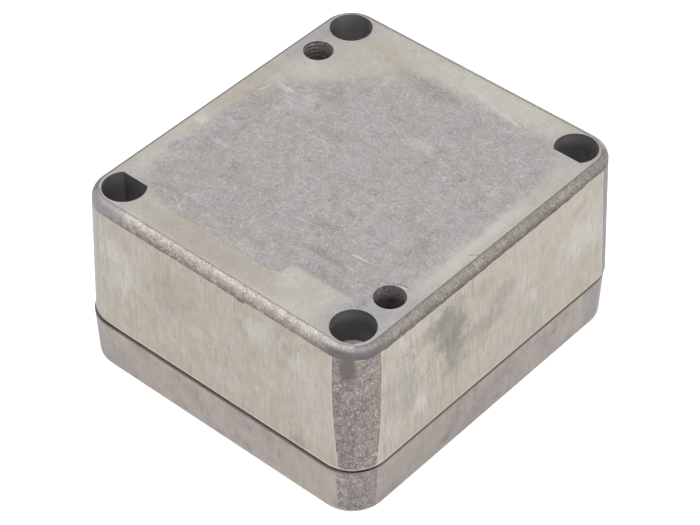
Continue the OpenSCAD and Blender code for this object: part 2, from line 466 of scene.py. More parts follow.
# the flat faces that marks are laid on: axis, place on it and how deep a mark goes
baseFaces = {"left": (1, -31.5, 4.0), "right": (0, 28.5, 4.0), "top": (2, plan["topZ"], 2.0)}

# marks by finish and face; a row is across, up, reach across, reach up, raggedness of the border and share
wallMarks = {  # blotches on the two walls beside the front corner
    ("sandLilac", "left"): [
        (-19.5, 22.6, 3.6, 4.6, 2.0, 0.6), (-21.5, 25.5, 2.0, 1.8, 1.8, 0.48), (9.5, 27.2, 3.2, 2.2, 2.1, 0.6),
        (17.8, 25.4, 3.0, 1.6, 2.1, 0.48), (-3.6, 19.4, 1.4, 1.6, 2.1, 0.4), (2.0, 14.0, 3.5, 2.0, 2.2, 0.24),
        (20.0, 20.0, 4.0, 7.0, 2.4, 0.3)],
    ("sandLilac", "right"): [
        (21.5, 21.5, 6.0, 3.4, 2.0, 0.6), (-17.6, 15.4, 1.2, 1.9, 1.6, 0.64), (-23.5, 15.5, 2.2, 2.4, 1.9, 0.44),
        (8.8, 18.0, 1.8, 1.6, 2.0, 0.4), (6.0, 22.5, 3.0, 2.0, 2.1, 0.28), (-19.0, 30.0, 4.5, 1.3, 1.8, 0.32),
        (-20.5, 23.5, 4.5, 5.0, 2.2, 0.25)],
    ("wallPink", "left"): [(-17.0, 29.5, 5.0, 2.6, 2.1, 0.48), (8.0, 20.0, 3.0, 4.0, 2.2, 0.32)],
    ("wallPink", "right"): [(9.8, 28.3, 2.2, 2.2, 2.0, 0.48), (12.0, 20.0, 1.5, 1.5, 2.0, 0.4)],
    ("smudge", "left"): [(-8.0, 24.0, 4.0, 4.0, 1.8, 0.2), (17.6, 10.6, 1.6, 0.9, 1.2, 0.35)],
    ("smudge", "right"): [
        (-10.6, 25.6, 3.4, 4.2, 2.0, 0.68), (-9.7, 20.4, 2.6, 4.2, 2.0, 0.6), (-13.6, 27.4, 4.0, 1.7, 1.7, 0.42),
        (-3.0, 20.4, 5.0, 1.6, 1.6, 0.38), (-2.6, 27.6, 2.0, 1.6, 1.6, 0.32), (2.0, 23.6, 3.2, 1.8, 1.6, 0.32),
        (-22.0, 20.0, 4.0, 5.0, 1.8, 0.2), (20.0, 27.8, 1.6, 1.0, 1.4, 0.2)],
}

# scratches on the two walls: start, end, width and share
leftWallLines = [((4.4, 31.2), (4.5, 27.0), 0.1, 0.5), ((11.7, 30.0), (11.7, 25.0), 0.09, 0.3)]
rightWallLines = [
    ((-5.4, 31.2), (-5.5, 28.0), 0.14, 0.7), ((-21.0, 28.0), (-21.0, 20.0), 0.09, 0.45),
    ((-12.9, 24.0), (-13.0, 18.5), 0.1, 0.4), ((-15.1, 30.6), (-15.1, 27.6), 0.08, 0.4),
    ((-22.1, 14.0), (-22.1, 10.6), 0.08, 0.4), ((-17.0, 30.8), (-17.0, 26.0), 0.07, 0.3),
]

# dashes of dirt on the front-left wall: place, half length, tilt
dashes = [(5.0, 27.2, 0.55, 0.3), (-6.0, 21.2, 0.5, -0.3), (-8.1, 21.5, 0.3, -1.0), (-2.4, 21.0, 0.35, -0.2),
          (-0.2, 20.4, 0.4, -0.4), (0.7, 18.4, 0.25, -0.2), (2.8, 18.0, 0.5, -0.5), (3.2, 19.8, 0.4, 0.1),
          (5.6, 15.4, 0.45, -0.3), (6.4, 23.6, 0.35, 1.1), (12.6, 20.8, 0.3, 0.8), (15.4, 12.8, 0.4, 0.9),
          (-12.2, 19.0, 0.3, 0.9), (-19.6, 18.4, 0.3, 0.2), (8.4, 14.8, 0.35, 1.2), (20.6, 24.0, 0.3, 1.3),
          (-15.6, 12.4, 0.4, 1.2), (-4.2, 15.6, 0.3, 0.9), (17.2, 29.0, 0.35, 0.9), (1.6, 25.2, 0.3, 1.1)]


def wallLook(where, spot, zones):
    # sanded walls: cloudy, with marks of the belt down them; gives the colour and the belt marks
    finish = baseFinish
    cloud = noise(where, 0.16, 4.0, 0.65)
    clouded = step(cloud, 0.3, 0.7, smooth=False)
    wall = shift(finish["sandCream"], clouded, finish["sandGrey"], finish["sandGreen"])
    wall = marked(spot, wall, finish, baseFaces, wallMarks)
    x, y, z = split(spot[0])
    onLeft, onRight = below(y, -plan["wallAt"]), above(x, plan["wallAt"])
    wall = scratches((x, z, onLeft), wall, finish["pit"], leftWallLines)
    wall = scratches((y, z, onRight), wall, finish["pit"], rightWallLines)
    dirtAndSeamShadow = 0.0
    for across, height, half, tilt in dashes:
        run, rise = half * math.cos(tilt), half * math.sin(tilt)
        dash = lineMark(x, z, (across - run, height - rise), (across + run, height + rise), 0.2)
        dirtAndSeamShadow = larger(dirtAndSeamShadow, dash)
    broken = step(noise(where, 2.6, 2.0, 0.6), 0.34, 0.56)
    wall = mix(times(dirtAndSeamShadow, onLeft, broken, 0.5), wall, finish["pit"])

    # scattered specks where the wall was struck
    specked = larger(patch(spot, (28.5, -19.5, 26.4), (4.0, 3.2, 2.0), 0.6),
                   patch(spot, (28.5, -15.7, 20.6), (4.0, 1.2, 2.2), 0.6))
    speck = step(noise(vector("MULTIPLY", where, (1.0, 1.6, 1.6)), 1.0, 3.0, 0.75), 0.53, 0.6)
    wall = mix(times(speck, specked, 0.6), wall, finish["pit"])

    streak = beltMarks(where, finish["beltMarks"])
    strong = timesPlus(times(zones["SideX"], step(zones["Y"], -4.0, -14.0)), 0.4, 0.7)
    uneven = step(noise(where, 0.3, 2.0, 0.5), 0.2, 0.7, smooth=False)
    streak = times(streak, timesPlus(uneven, 0.8, 0.35), strong)
    blots = sway(vector("MULTIPLY", where, (1.0, 1.0, 0.6)), 0.75, 4.0, 0.7)
    # painted light: the walls facing ±X are painted lighter than those facing ±Y, for how the light falls on them
    wallShade = timesPlus(zones["SideX"], finish["rightWallPaintedLight"], finish["wallShade"])
    wall = shade(wall, add(add(wallShade, streak), times(blots, 0.34)))
    hairs = hairline(vector("MULTIPLY", where, (1.0, 1.0, 0.5)), 0.8, 0.035, 0.4)
    wall = mix(times(hairs, 0.3), wall, finish["pit"])
    flakes = hairline(vector("ADD", where, (9.0, 4.0, 3.0)), 0.9, 0.03, 0.35)
    wall = mix(times(flakes, 0.3), wall, finish["wallLight"])
    return wall, streak


def cornerEdges(zones, wander):
    # how far a place lies past the border of the sanded walls, towards the upright corner
    border = baseBorders
    drop = less(border["flatTop"], zones["Z"])
    curve = times(drop, drop, border["flatCurve"])
    line = times(drop, border["flatLean"])
    overCurve = less(curve, line)
    bend = timesPlus(wander, 0.22, line)
    rightX = above(zones["X"], 0.0)
    borderX = timesPlus(rightX, overCurve, add(bend, border["flatX"]))
    frontY = below(zones["Y"], 0.0)
    borderY = timesPlus(frontY, less(overCurve, 0.4), add(bend, border["flatY"]))
    return smaller(less(zones["AbsX"], borderX), less(zones["AbsY"], borderY))


def skinLook(spot, zones, grain):
    # rough skin left at the upright corners; the left and right corners are smoother
    finish = baseFinish
    lump = less(grain["Tone"], 0.5)
    skin = grainColor(grain, finish["skin"], finish["skinLight"], finish["skinDark"], finish["flecks"])
    drip = patch(spot, (25.7, -31.2, 29.7), (1.15, 3.0, 2.3), 0.5, 0.3)
    skin = mix(times(drip, 0.88), skin, finish["drip"])
    left = below(zones["X"], 0.0)
    # painted light: the corner skin is painted lighter on the walls facing ±X
    skin = shade(skin, timesPlus(zones["SideX"], 0.12, 1.0))
    smooth = shade(finish["skinSmooth"], timesPlus(lump, 0.25, 1.0))
    right = shade(finish["skinRight"], timesPlus(lump, 0.5, 1.0))
    skin = mix(above(zones["Y"], 0.0), skin, right)
    return mix(times(left, 0.9), skin, smooth)


def edgeLook(where, zones, grain):
    # rounded edge around the face on top: painted shade low on the round, painted light with more flecks higher up,
    # dull at the front corner
    finish, border = baseFinish, baseBorders
    up = step(zones["Z"], *border["edgePaintedLight"])
    edge = mix(up, finish["edgeLow"], finish["edgeHigh"])
    slow = sway(where, 0.3, 2.0, 0.5)
    edge = shade(edge, timesPlus(slow, 0.5, 1.0))
    lumps = step(grain["Tone"], 0.02, 0.98, smooth=False)
    edge = shift(edge, lumps, finish["edgeLight"], finish["edgeDark"])
    flecks = times(grain["Fleck"], timesPlus(up, 0.4, 0.15))
    edge = mix(flecks, edge, finish["edgeLight"])
    leftEnd = step(zones["X"], *border["edgeLeft"])
    edge = mix(times(leftEnd, 0.7), edge, finish["edgeBlue"])
    # painted shade in a line along the crease where the rounded edge meets the wall
    wallCreaseShade = times(step(zones["Z"], *border["wallCreaseBand"]), 0.22)
    # painted shade: the rounded edge is painted darker along the walls facing ±X
    sideX = times(zones["SideX"], 0.3)
    edge = shade(edge, less(less(1.0, wallCreaseShade), sideX))
    nearFront = vector("DISTANCE", join(zones["X"], zones["Y"]), border["frontCorner"])
    atFront = step(nearFront, *border["frontReach"])
    edge = mix(times(atFront, 0.2), edge, finish["ring"])
    # painted shade on the rounded edge near the front corner
    edge = shade(edge, timesPlus(atFront, -0.12, 1.0))
    frontTurn = times(atFront, step(zones["Z"], *border["frontTurn"]))
    return mix(times(frontTurn, 0.85), edge, finish["edgeFront"])


topMarks = {  # the border, the scuffed field and the rings round the holes
    ("borderFront", "top"): [(-5.0, -27.4, 13.0, 2.6, 0.8, 0.8)],
    ("borderBrown", "top"): [
        (-25.6, 5.0, 1.6, 8.0, 1.0, 0.7), (-13.0, 24.6, 5.0, 1.8, 1.2, 0.5), (6.0, -26.6, 4.0, 1.6, 1.2, 0.25)],
    ("white", "top"): [
        (5.0, 27.2, 13.5, 3.4, 1.0, 0.28), (-25.3, -6.8, 1.3, 0.9, 0.7, 0.5), (25.2, 4.0, 0.9, 6.0, 1.0, 0.3),
        (9.6, -24.3, 1.8, 2.6, 1.0, 0.12), (25.4, -6.0, 1.0, 5.0, 1.0, 0.25), (-21.0, 13.5, 2.0, 1.8, 0.5, 0.18)],
    ("ring", "top"): [
        (23.4, -26.4, 5.3, 5.0, 0.7, 0.62), (-23.6, 26.4, 5.2, 5.0, 0.8, 0.5), (-23.6, -26.2, 4.7, 4.6, 0.7, 0.45),
        (24.4, 26.6, 4.7, 4.6, 0.8, 0.45), (27.0, -18.0, 1.0, 4.0, 0.7, 0.5), (-20.5, 19.0, 2.0, 3.0, 1.0, 0.25),
        (23.2, -21.4, 2.6, 1.6, 0.6, 0.7), (-25.6, 19.5, 1.8, 6.5, 0.8, 0.6), (23.0, -18.0, 3.9, 3.9, 0.6, 0.5),
        (11.5, -20.6, 3.2, 0.9, 0.8, 0.5), (6.5, 18.6, 1.6, 2.6, 1.0, 0.4), (-24.6, 25.8, 2.4, 4.0, 0.6, 0.5),
        (-21.5, -2.0, 1.6, 5.0, 1.2, 0.4)],
    ("fieldDark", "top"): [
        (0.0, -17.0, 15.0, 5.0, 3.0, 0.08), (-15.0, 11.8, 2.4, 2.6, 1.6, 0.26), (-4.0, 22.2, 6.0, 1.6, 1.5, 0.24),
        (5.2, -12.6, 2.4, 1.0, 1.6, 0.24), (10.0, -17.4, 3.0, 0.8, 1.4, 0.28), (-13.6, -11.6, 1.0, 1.2, 1.2, 0.26),
        (-7.2, 3.6, 2.4, 0.9, 1.6, 0.22), (-14.2, 3.8, 2.6, 1.2, 1.6, 0.2), (-20.4, -10.0, 1.4, 3.4, 1.6, 0.18),
        (14.0, -20.8, 4.0, 1.2, 1.2, 0.16), (-17.0, -22.6, 4.6, 1.6, 1.4, 0.18), (-24.1, -14.2, 0.9, 0.9, 0.4, 0.2),
        (19.6, -7.0, 1.6, 5.0, 1.6, 0.14)],
    ("fieldPale", "top"): [
        (4.8, 10.6, 2.2, 1.2, 1.6, 0.26), (19.4, 9.6, 1.5, 1.4, 1.6, 0.26), (-19.4, -8.9, 2.0, 0.5, 1.2, 0.3),
        (-20.6, 7.5, 1.8, 0.6, 1.4, 0.4), (12.2, 7.4, 0.4, 0.4, 0.4, 0.5), (-16.0, 6.0, 4.0, 3.0, 1.8, 0.16)],
}

# scratches on the top: start, end, width and share; the last row is a painted highlight on a burr at the rim of the
# front mounting hole, and the last two rows of topShadows are its painted shadow
topScratchesAndHighlight = [
    ((-0.3, 26.8), (13.5, 24.3), 0.16, 0.55), ((6.2, 25.3), (13.2, 24.1), 0.14, 0.5),
    ((13.2, -14.7), (15.6, -14.4), 0.22, 0.7), ((-17.2, -21.7), (-12.6, -24.3), 0.14, 0.4),
    ((-18.0, -22.6), (-15.0, -24.0), 0.12, 0.4), ((-14.6, -21.0), (-13.4, -24.8), 0.12, 0.3),
    ((-23.4, 4.6), (-22.9, 6.2), 0.25, 0.6), ((-21.6, 7.9), (-18.8, 7.5), 0.2, 0.5),
    ((22.9, -15.25), (23.8, -15.2), 0.24, 0.6),
]

topShadows = [
    ((25.9, -3.6), (27.0, -2.5), 0.16, 0.7), ((-19.0, 11.0), (-19.0, -12.0), 0.45, 0.14),
    ((19.0, 11.0), (19.0, -12.0), 0.45, 0.14), ((-19.0, -21.8), (18.0, -21.8), 0.4, 0.12),
    ((-20.0, -24.8), (6.0, -24.9), 0.3, 0.12), ((4.4, -13.2), (7.6, -11.4), 0.25, 0.3),
    ((22.6, -14.85), (23.5, -14.75), 0.2, 0.7), ((21.6, -15.6), (22.4, -15.0), 0.22, 0.6),
]

# hairlines on the top: where their pattern starts, scale, share, colour and strength
topHairs = [((3.0, 8.0, 0.0), 0.75, 0.42, "fieldDark", 0.52), ((13.0, 2.0, 0.0), 0.85, 0.45, "white", 0.46)]

# random scratches on the top, from short to long: cell, length, width, share and strength
topStrokes = [(0.9, 0.4, 0.11, 0.75, 0.44), (1.7, 0.8, 0.1, 0.6, 0.46), (3.1, 1.5, 0.09, 0.5, 0.44),
              (7.0, 3.0, 0.08, 0.4, 0.46)]


def topLook(where, spot, zones):
    # face on top: pale border, scuffed grey field; gives the colour and how deep it is scratched
    finish, border = baseFinish, baseBorders
    x, y = zones["X"], zones["Y"]
    flat = vector("MULTIPLY", where, (1, 1, 0))
    overX = larger(less(unsigned(add(x, 0.15)), border["fieldX"]), 0.0)
    overY = larger(less(unsigned(add(y, 0.2)), border["fieldY"]), 0.0)
    out = vector("LENGTH", join(overX, overY))
    toBack = times(less(y, x), math.sqrt(0.5))
    cut = less(toBack, border["fieldCut"])  # the field fades out towards the back
    out = larger(out, timesPlus(cut, 0.42, 8.4))
    wide, narrow = sway(flat, 0.13, 3.0, 0.55), sway(flat, 0.9, 3.0, 0.6)
    ragged = add(times(wide, 3.0), times(narrow, 2.4))
    field = step(add(out, ragged), *border["fieldBorder"])
    fromLeft = step(add(x, times(ragged, 0.25)), *border["paleLeft"])
    paleX = times(fromLeft, step(x, *border["paleRight"]))
    paleY = step(add(y, times(ragged, 0.3)), *border["paleFront"])
    field = times(field, less(1.0, times(paleX, paleY)))
    borderCloud = noise(flat, 0.22, 4.0, 0.65)
    borderColor = mix(step(borderCloud, 0.4, 0.62), finish["border"], finish["borderPale"])
    warmth = noise(vector("ADD", flat, (40.0, 10.0, 0.0)), 0.12, 3.0, 0.6)
    fieldColor = mix(step(warmth, 0.42, 0.62), finish["field"], finish["fieldWarm"])
    face = mix(field, borderColor, fieldColor)
    face = marked(spot, face, finish, baseFaces, topMarks)
    fine = sway(flat, 1.9, 4.0, 0.75)
    middle = sway(flat, 0.55, 3.0, 0.6)
    fuzz = add(times(fine, 0.62), times(middle, 0.3))
    face = shade(face, timesPlus(fuzz, timesPlus(field, 0.75, 0.5), 1.0))
    calm = timesPlus(field, 0.55, 0.45)
    for moved, scale, share, color, strength in topHairs:
        hairs = hairline(vector("ADD", flat, moved), scale, 0.03, share)
        face = mix(times(hairs, calm, strength), face, finish[color])
    lateX, lateY = split(spot[0])[:2]
    face = scratches((lateX, lateY, None), face, finish["white"], topScratchesAndHighlight)
    face = scratches((lateX, lateY, None), face, finish["fieldDark"], topShadows)
    depth = None
    for cell, length, width, share, strength in topStrokes:
        strokes = place(strokesGroup, Vector=vector("ADD", flat, (cell * 7, cell * 3, 0)),
                        Cell=cell, Length=length, Width=width, Share=share)
        color = mix(above(strokes["Luck"], 0.45), finish["fieldDark"], finish["white"])
        amount = times(strokes["Mask"], calm, strength)
        face = mix(amount, face, color)
        depth = amount if depth is None else larger(depth, amount)
    return face, depth


def holeLook(zones, grain):
    # the corner pockets, the mounting holes and the inside
    finish = baseFinish
    hollow = mix(zones["Mount"], finish["inside"], finish["mount"])
    turns = calc("SINE", timesPlus(zones["X"], 0.7, times(zones["Z"], 8.4)))
    across = add(times(zones["X"], 0.75), times(zones["Y"], 0.66))
    rings = times(turns, zones["Mount"], step(across, -4.2, -6.0), 0.5)  # left by the drill, on one side
    hollow = shade(hollow, add(rings, 1.0))
    hollow = mix(times(grain["Fleck"], zones["Mount"], 0.5), hollow, finish["white"])
    hollow = mix(zones["Pocket"], hollow, finish["pocket"])
    # painted light: the pocket and mounting hole at the back left are painted lighter
    backHolesPaintedLight = times(below(zones["X"], 0.0), above(zones["Y"], 0.0), 0.18)
    rough = timesPlus(zones["Mount"], 2.4, 0.25)
    lump = less(grain["Tone"], 0.5)
    return shade(hollow, timesPlus(lump, rough, add(backHolesPaintedLight, 1.0)))


def paintBase():
    material, shader = newMaterial("castBase")
    finish, border = baseFinish, baseBorders
    where = objectMm(plan["slip"])
    zones = place(zonesGroup, Vector=where)
    x, y, z, inset = (zones[label] for label in ("X", "Y", "Z", "Inset"))
    grain = place(grainGroup, Vector=where, Size=finish["grainSize"])
    wander = sway(where, 0.6, 3.0, 0.6)
    onFront = below(y, -plan["wallAt"])
    sideX = zones["SideX"]

    spot = makeSpot(where)
    outside, streak = wallLook(where, spot, zones)
    over = cornerEdges(zones, wander)
    corner = step(over, -0.05, 0.05)
    # a painted highlight in a thin line where the sanded walls turn into the corner skin
    cornerHighlight = times(step(over, -0.3, -0.1), step(over, 0.02, -0.06), 0.22)
    outside = mix(cornerHighlight, outside, finish["paintedHighlight"])
    outside = mix(corner, outside, skinLook(spot, zones, grain))

    # along the rim: a painted highlight on the base's lower edge, painted shadow in the seam with the lid on the
    # walls facing ±X, and a ledge in shadow painted grey at the left end
    outside = mix(times(step(z, *border["rimLight"]), 0.4), outside, finish["paintedHighlight"])
    # painted shadow in the seam between base and lid, stronger towards the front
    dirtAndSeamShadow = timesPlus(step(y, -8.0, -24.0), 0.2, 0.75)
    dirtAndSeamShadow = times(step(z, *border["rimDirt"]), sideX, dirtAndSeamShadow)
    outside = mix(dirtAndSeamShadow, outside, finish["seamShadow"])
    # painted shadow: a dark strip on the base's lower edge at the left end stands in for the lid's ledge in shade
    pastEnd = less(border["ledgeX"], x)
    low = timesPlus(larger(pastEnd, 0.0), 0.08, border["ledgeTop"])
    ledgeShadow = times(step(less(z, low), 0.08, -0.04), step(pastEnd, 0.0, 2.0), below(y, -20.0))
    outside = mix(times(ledgeShadow, 0.85), outside, finish["ledgeShadow"])

    # the rounded edge: its lower border dips at a burr and rises past it
    burr = times(step(x, 4.7, 5.0), step(x, 6.5, 6.3), onFront)
    risen = times(step(x, 6.3, 6.5), onFront, 0.16)
    risen = add(risen, times(sideX, step(y, 16.0, 24.0), 0.3))
    lowEdge = timesPlus(wander, 0.5, border["roundedEdge"])
    lowEdge = add(lowEdge, less(risen, times(burr, 0.3)))
    onEdge = step(less(z, lowEdge), -0.05, 0.05)
    outside = mix(onEdge, outside, edgeLook(where, zones, grain))

    top, depth = topLook(where, spot, zones)
    overCrease = less(inset, timesPlus(sideX, -0.24, border["faceInset"]))
    high = above(z, border["faceTop"])
    onTop = times(step(overCrease, -0.04, 0.04), high)
    # painted shade in a thin line along the crease where the face on top meets the rounded edge
    topCreaseShade = times(step(overCrease, -0.24, -0.06), step(overCrease, 0.14, 0.02), high)
    outside = mix(onTop, outside, top)
    outside = mix(times(topCreaseShade, 0.55), outside, finish["topCreaseShade"])

    holes = larger(zones["Pocket"], zones["Mount"])
    deep = times(above(inset, border["holeInset"]), below(z, border["holeTop"]))
    color = mix(larger(holes, deep), outside, holeLook(zones, grain))

    roughSkin = larger(corner, less(onEdge, onTop))
    roughSkin = times(roughSkin, timesPlus(below(x, -22.0), -0.7, 1.0))
    feed(shader.inputs["Base Color"], color)
    feed(shader.inputs["Roughness"], timesPlus(roughSkin, finish["skinRoughness"], finish["roughness"]))
    shader.inputs["Metallic"].default_value = 1.0
    smoothHeight = times(less(streak, depth), 0.7)
    height = mixNumber(roughSkin, smoothHeight, grain["Height"])
    bumped(shader, height, finish["bump"], finish["bumpDepth"])
    return material


lidFinish = {
    "wall": tone(166, 158, 153), "wallWarm": tone(170, 163, 153), "wallDark": tone(148, 141, 139),
    "wallPink": tone(168, 156, 153), "bluish": tone(140, 139, 141), "mark": tone(122, 114, 110),
    "light": tone(178, 172, 167), "skin": tone(122, 115, 113), "skinDark": tone(84, 78, 76),
    "skinLight": tone(174, 168, 164), "inside": tone(190, 187, 183), "face": tone(178, 172, 167),
    "rim": tone(106, 100, 95),
    "grainSize": 0.32, "flecks": 0.75, "roughness": 0.52, "bump": 0.5, "bumpDepth": 0.00007,
    "wallShade": 0.78, "beltMarks": [(0.22, 2.4, 0.28), (0.8, 6.0, 0.16)],
}

lidBorders = {  # in millimetres, as for the base
    "flatX": 24.75, "flatY": 27.0, "outerFace": (0.3, 0.02), "rim": (8.9, 9.12), "inside": (0.3, 0.5),
}

lidFaces = {"left": (1, -32.0, 4.0), "right": (0, 28.6, 4.0)}

lidMarks = {  # as on the base, on the lid's two walls
    ("bluish", "left"): [(-19.0, 1.6, 4.0, 1.6, 1.2, 0.3)],
    ("bluish", "right"): [(-24.0, 1.8, 3.0, 1.4, 1.2, 0.4), (25.5, 5.0, 2.5, 6.0, 1.0, 0.4)],
    ("wallPink", "left"): [(-14.0, 5.0, 5.0, 3.0, 1.5, 0.5), (14.0, 4.0, 6.0, 3.0, 1.5, 0.4)],
    ("wallPink", "right"): [(-22.0, 6.0, 4.0, 3.0, 1.5, 0.5), (15.0, 2.6, 3.0, 1.6, 1.5, 0.4)],
    ("mark", "left"): [
        (-3.4, 6.0, 0.25, 1.4, 1.0, 0.4), (-7.2, 7.4, 0.3, 0.6, 1.0, 0.45), (7.6, 6.6, 0.3, 0.6, 1.0, 0.45),
        (13.5, 5.2, 0.3, 1.0, 1.0, 0.35), (-12.0, 7.6, 0.5, 0.3, 1.0, 0.4)],
    ("mark", "right"): [
        (-11.0, 2.6, 1.0, 0.9, 1.2, 0.5), (15.2, 6.0, 0.8, 0.6, 1.2, 0.4), (1.4, 2.2, 0.8, 0.5, 1.2, 0.4)],
}

lidLeftLines = [((-24.4, 7.6), (-22.6, 6.4), 0.16, 0.6), ((-24.2, 5.2), (-22.2, 4.5), 0.16, 0.6),
                ((-23.4, 6.4), (-22.4, 6.0), 0.12, 0.4)]
lidRightLines = [((3.7, 4.6), (3.8, 1.8), 0.12, 0.5)]


def paintLid():
    material, shader = newMaterial("castLid")
    finish, border = lidFinish, lidBorders
    where = objectMm(-plan["slip"])
    zones = place(zonesGroup, Vector=where)
    x, y, z = (zones[label] for label in ("X", "Y", "Z"))
    spot = makeSpot(where)
    cloud = noise(where, 0.2, 4.0, 0.65)
    clouded = step(cloud, 0.3, 0.7, smooth=False)
    wall = shift(finish["wall"], clouded, finish["wallWarm"], finish["wallDark"])
    atCorner = patch(spot, (-29.0, -31.0, 5.0), (6.0, 6.0, 8.0), 0.7)
    wall = mix(times(atCorner, 0.8), wall, finish["bluish"])
    wall = marked(spot, wall, finish, lidFaces, lidMarks)
    onLeft, onRight = below(y, -plan["wallAt"]), above(x, plan["wallAt"])
    wall = scratches((x, z, onLeft), wall, finish["light"], lidLeftLines)
    wall = scratches((y, z, onRight), wall, finish["light"], lidRightLines)
    streak = beltMarks(where, finish["beltMarks"])
    # painted light: the lid's walls facing ±X are painted lighter towards the back
    paintedLightRight = times(zones["SideX"], step(y, -6.0, 22.0), 0.09)
    blots = sway(vector("MULTIPLY", where, (1.0, 1.0, 0.7)), 0.8, 4.0, 0.7)
    wallShade = timesPlus(blots, 0.26, finish["wallShade"])
    wall = shade(wall, add(wallShade, add(streak, paintedLightRight)))
    hairs = hairline(vector("MULTIPLY", where, (1.0, 1.0, 0.5)), 0.9, 0.035, 0.35)
    wall = mix(times(hairs, 0.3), wall, finish["mark"])
    grain = place(grainGroup, Vector=where, Size=finish["grainSize"])
    skin = grainColor(grain, finish["skin"], finish["skinLight"], finish["skinDark"], finish["flecks"])
    wander = times(sway(where, 0.6, 3.0, 0.6), 0.5)
    overX = less(zones["AbsX"], add(wander, border["flatX"]))
    overY = less(zones["AbsY"], add(wander, border["flatY"]))
    corner = step(smaller(overX, overY), -0.05, 0.05)
    rough = times(corner, step(x, -22.0, -20.0), step(y, 24.0, 22.0))
    outside = mix(rough, wall, skin)
    faceTone = add(timesPlus(blots, 0.5, 0.88), times(grain["Tone"], 0.2))
    outside = mix(step(z, *border["outerFace"]), outside, shade(finish["face"], faceTone))
    # painted shade: a dark band along the lid's top edge, at the seam with the base
    outside = mix(step(z, *border["rim"]), outside, finish["rim"])
    deep = times(step(zones["Inset"], *border["inside"]), above(z, 0.02))
    color = mix(deep, outside, finish["inside"])
    feed(shader.inputs["Base Color"], color)
    shader.inputs["Roughness"].default_value = finish["roughness"]
    shader.inputs["Metallic"].default_value = 1.0
    height = mixNumber(rough, times(streak, 0.8), grain["Height"])
    bumped(shader, height, finish["bump"], finish["bumpDepth"])
    return material


gasketFinish = {"dark": tone(34, 34, 36), "pale": tone(58, 58, 60)}


def paintGasket():
    material, shader = newMaterial("gasketRubber")
    speck = noise(objectMm(), 4.0, 3.0, 0.6)
    feed(shader.inputs["Base Color"], mix(speck, gasketFinish["dark"], gasketFinish["pale"]))
    feed(shader.inputs["Roughness"], step(speck, -0.6, 1.6, smooth=False))
    return material


screwFinish = {"dark": tone(172, 172, 174), "pale": tone(208, 207, 205)}


def paintScrew():
    material, shader = newMaterial("screwSteel")
    turning = noise(vector("MULTIPLY", objectMm(), (0.4, 0.4, 7.0)), 1.0, 2.0, 0.6)
    feed(shader.inputs["Base Color"], mix(turning, screwFinish["dark"], screwFinish["pale"]))
    feed(shader.inputs["Roughness"], timesPlus(turning, 0.2, 0.22))
    shader.inputs["Metallic"].default_value = 1.0
    return material


def dress(name, material):
    slots = nodes[name].material_slots
    for index in range(len(slots)):
        slots[index].material = material


castBase, castLid, gasketRubber, screwSteel = paintBase(), paintLid(), paintGasket(), paintScrew()
dress("base", castBase)
dress("lid", castLid)
dress("gasket", gasketRubber)
for turn in ("front", "right", "back", "left"):
    dress("lid_screw_" + turn, screwSteel)
print("castings, gasket and screws have their finishes")


lidScrew = {  # in metres; a place is x, y and the turn of the slot in degrees
    "headMiddle": 0.0023, "headTall": 0.0026, "headRadius": 0.0035, "sides": 48, "rimBevel": 0.0004,
    "neckInset": 0.0017, "neckTall": 0.0005, "coreInset": 0.0002, "coreTall": 0.0143, "tipBevel": 0.0005,
    "slotPlace": (0.0, 0.0, 0.0016), "slotSize": (0.008, 0.0012, 0.0014),
    "ridgePlace": (0.001683, 0.0, 0.0046), "ridgeReach": 0.000267,
    "pitch": 0.0007, "turns": 18, "turnSteps": 24, "smooth": 0.6,
    "places": {"front": (0.023, -0.02585, 20.0), "right": (0.023, 0.02615, 75.0),
               "back": (-0.023, 0.02615, -35.0), "left": (-0.023, -0.02585, 120.0)},
}


def soloPiece(piece):
    bpy.ops.object.select_all(action="DESELECT")
    piece.select_set(True)
    bpy.context.view_layer.objects.active = piece


def pickFaces(piece, wanted):
    # in edit mode: selects the faces whose middle and normal are wanted
    bpy.ops.mesh.select_all(action="DESELECT")
    mesh = bmesh.from_edit_mesh(piece.data)
    for face in mesh.faces:
        face.select_set(wanted(face.calc_center_median(), face.normal))
    bmesh.update_edit_mesh(piece.data)


def turnScrewBody():
    # head, neck and core, with a slot cut across the head
    size = lidScrew
    bpy.ops.object.select_all(action="DESELECT")
    bpy.ops.mesh.primitive_cylinder_add(vertices=size["sides"], radius=size["headRadius"], depth=size["headTall"],
                                        location=(0.0, 0.0, size["headMiddle"]))
    body = bpy.context.active_object
    soloPiece(body)
    bpy.ops.object.transform_apply(location=True, rotation=True, scale=True)
    bpy.ops.object.mode_set(mode="EDIT")
    pickFaces(body, lambda middle, normal: normal.z > 0.9)
    bpy.ops.mesh.inset(thickness=size["neckInset"])
    bpy.ops.mesh.extrude_region_move(TRANSFORM_OT_translate={"value": (0.0, 0.0, size["neckTall"])})
    bpy.ops.mesh.inset(thickness=size["coreInset"])
    bpy.ops.mesh.extrude_region_move(TRANSFORM_OT_translate={"value": (0.0, 0.0, size["coreTall"])})
    bpy.ops.mesh.bevel(offset=size["tipBevel"], segments=2, affect="EDGES")
    pickFaces(body, lambda middle, normal: normal.z < -0.9)
    bpy.ops.mesh.bevel(offset=size["rimBevel"], segments=3, affect="EDGES")
    bpy.ops.object.mode_set(mode="OBJECT")
    bpy.ops.mesh.primitive_cube_add(size=1.0, location=size["slotPlace"])
    cutter = bpy.context.active_object
    cutter.scale = size["slotSize"]
    soloPiece(body)
    slot = body.modifiers.new("slot", "BOOLEAN")
    slot.operation, slot.solver, slot.object = "DIFFERENCE", "EXACT", cutter
    bpy.ops.object.modifier_apply(modifier="slot")
    bpy.data.objects.remove(cutter, do_unlink=True)
    return body


